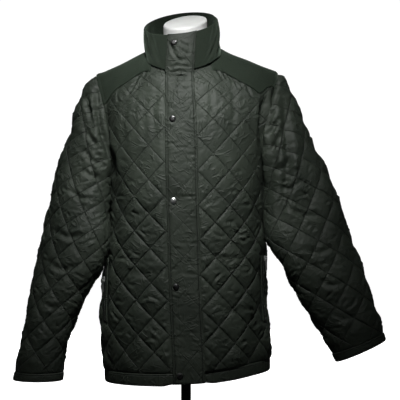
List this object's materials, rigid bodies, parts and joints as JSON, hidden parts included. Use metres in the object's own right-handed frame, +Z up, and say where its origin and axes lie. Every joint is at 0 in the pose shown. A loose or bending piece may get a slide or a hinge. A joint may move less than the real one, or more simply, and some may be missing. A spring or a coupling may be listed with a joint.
{
  "type": "quilted jacket on a dress form",
  "caption": "Diamond-quilted jacket with a stand-up collar, storm flap, shoulder patches and side zip pockets, fastened, on a limbless dress form with a pole and round base.",
  "frame": {"origin": "middle of the base's underside, on the floor", "axes": "+Z up, the jacket faces -Y, +X towards the wearer's left"},
  "size_m": [0.8345, 0.3058, 0.9773],
  "materials": {
    "nylon": "soft sheen",
    "brushed_cloth": "matte, brushed",
    "dark_metal": "dark plated",
    "form_plastic": "matte",
    "stand_metal": "satin black"
  },
  "bodies": {
    "jacket_on_stand": {"front_right": "nylon", "front_left": "nylon", "back": "nylon", "sleeve_right": "nylon", "sleeve_left": "nylon", "collar": "brushed_cloth", "storm_flap": "nylon", "shoulder_patch_right": "brushed_cloth", "shoulder_patch_left": "brushed_cloth", "hem_band": "nylon", "cuff_band_right": "nylon", "cuff_band_left": "nylon", "pocket_welt_right": "nylon", "pocket_welt_left": "nylon", "pocket_zip_right": "dark_metal", "pocket_zip_left": "dark_metal", "zip_slider_right": "dark_metal", "zip_slider_left": "dark_metal", "snap_1": "dark_metal", "snap_2": "dark_metal", "snap_3": "dark_metal", "snap_4": "dark_metal", "snap_5": "dark_metal", "dress_form": "form_plastic", "stand_pole": "stand_metal", "stand_base": "stand_metal"},
    "pull_right": {"zip_pull_right": "dark_metal"},
    "pull_left": {"zip_pull_left": "dark_metal"}
  },
  "joints": [
    {"name": "pull_right_swing", "type": "hinge", "parent": "jacket_on_stand", "child": "pull_right", "pos_m": [-0.18803, -0.0537, 0.357], "axis": [-0.3226, 0.9466, 0], "range_deg": [0, 50]},
    {"name": "pull_left_swing", "type": "hinge", "parent": "jacket_on_stand", "child": "pull_left", "pos_m": [0.18182, -0.05644, 0.404], "axis": [-0.3393, -0.9407, 0], "range_deg": [0, 75]}
  ]
}
